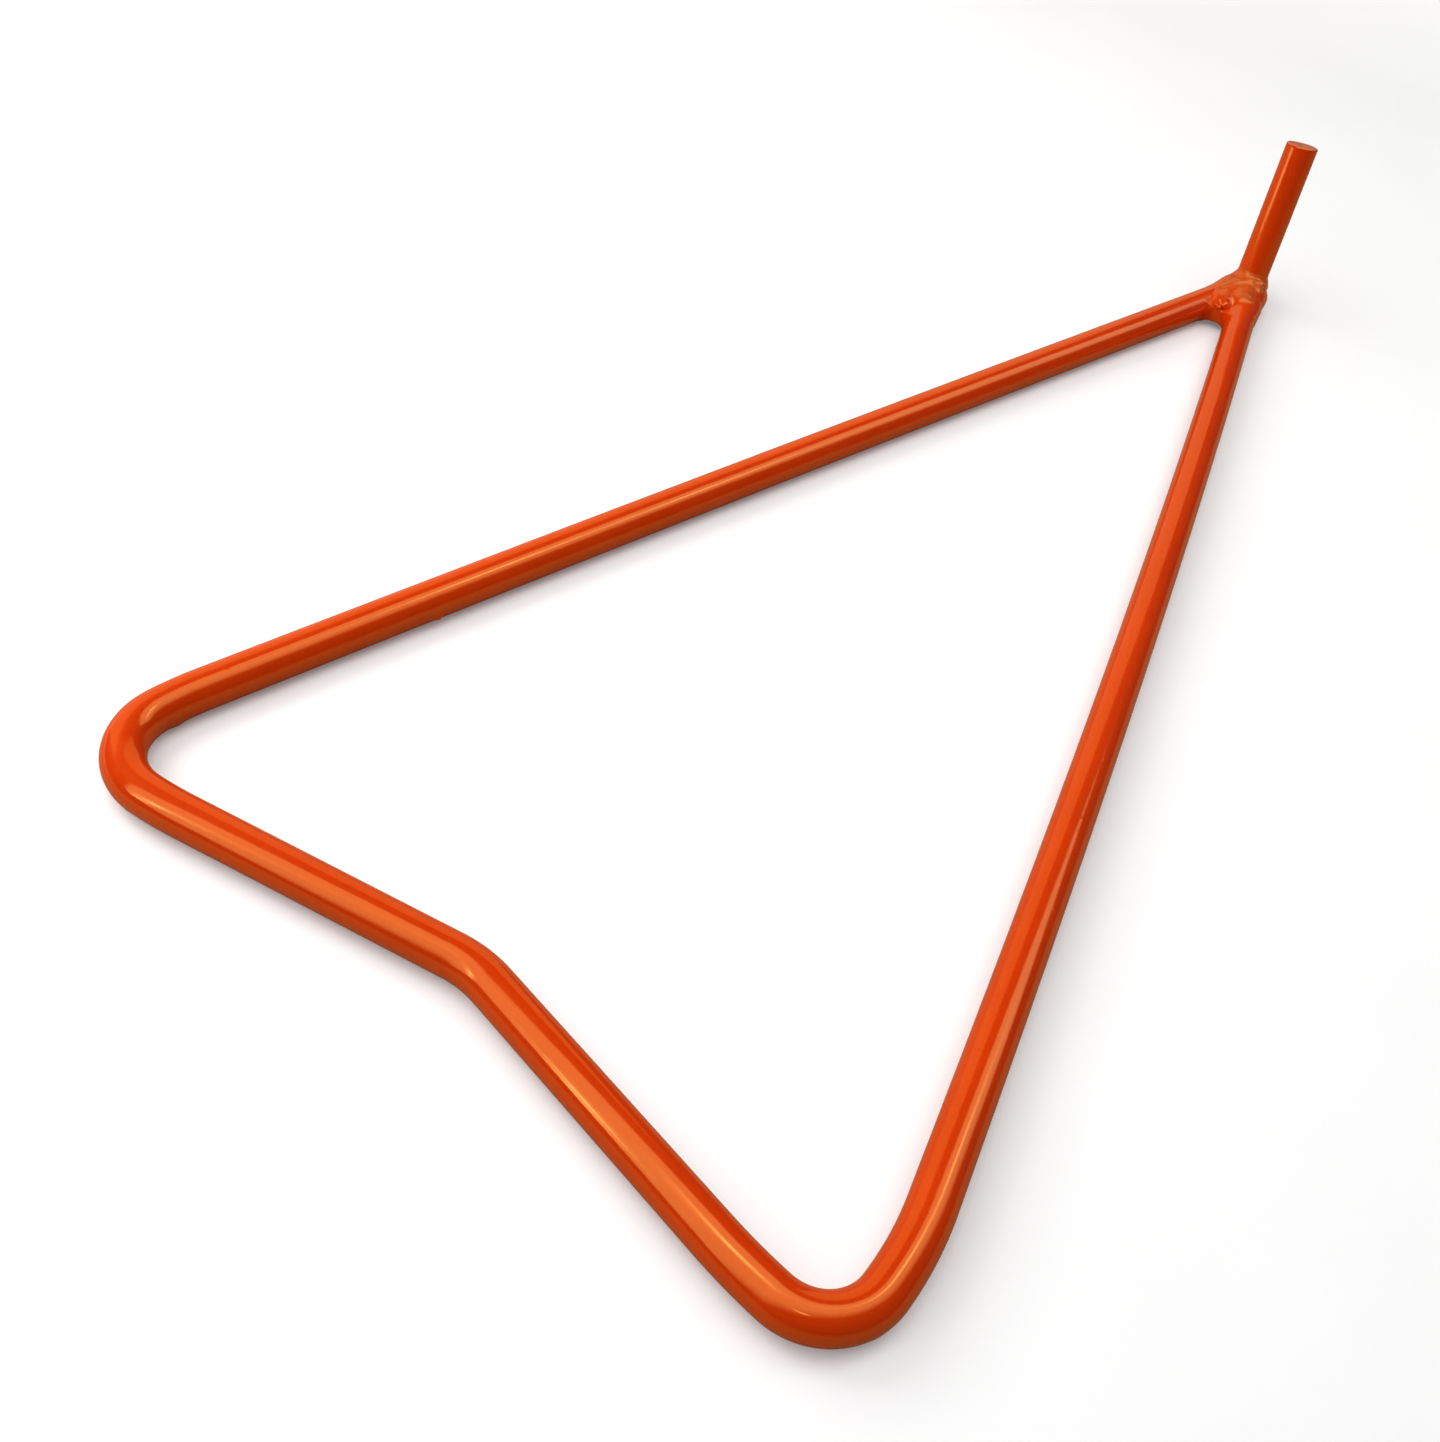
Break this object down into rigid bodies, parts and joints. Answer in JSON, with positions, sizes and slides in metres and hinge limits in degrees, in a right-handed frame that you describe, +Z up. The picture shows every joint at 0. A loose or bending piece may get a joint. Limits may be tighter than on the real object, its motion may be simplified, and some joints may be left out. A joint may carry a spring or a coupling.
{
  "type": "motorcycle triangle stand",
  "caption": "Plug-in side stand for an off-road motorcycle: a round bar bent to a narrow open triangle with rounded feet, and a short axle pin welded on at its tip.",
  "frame": {"origin": "on the ground, under the middle of the stand's box, with the stand lying flat", "axes": "+Z up, the way the pin stands; +Y along the triangle, from its base to its tip; +X across the triangle, from the left foot to the right one"},
  "size_m": [0.1688, 0.3461, 0.044],
  "materials": {
    "orange_paint": "glossy orange paint on smooth steel bar",
    "painted_weld": "glossy orange paint over rippled weld metal"
  },
  "bodies": {
    "root": {"frame_rod": "orange_paint", "axle_pin": "orange_paint", "pin_weld": "painted_weld", "tip_weld": "painted_weld"}
  },
  "joints": []
}
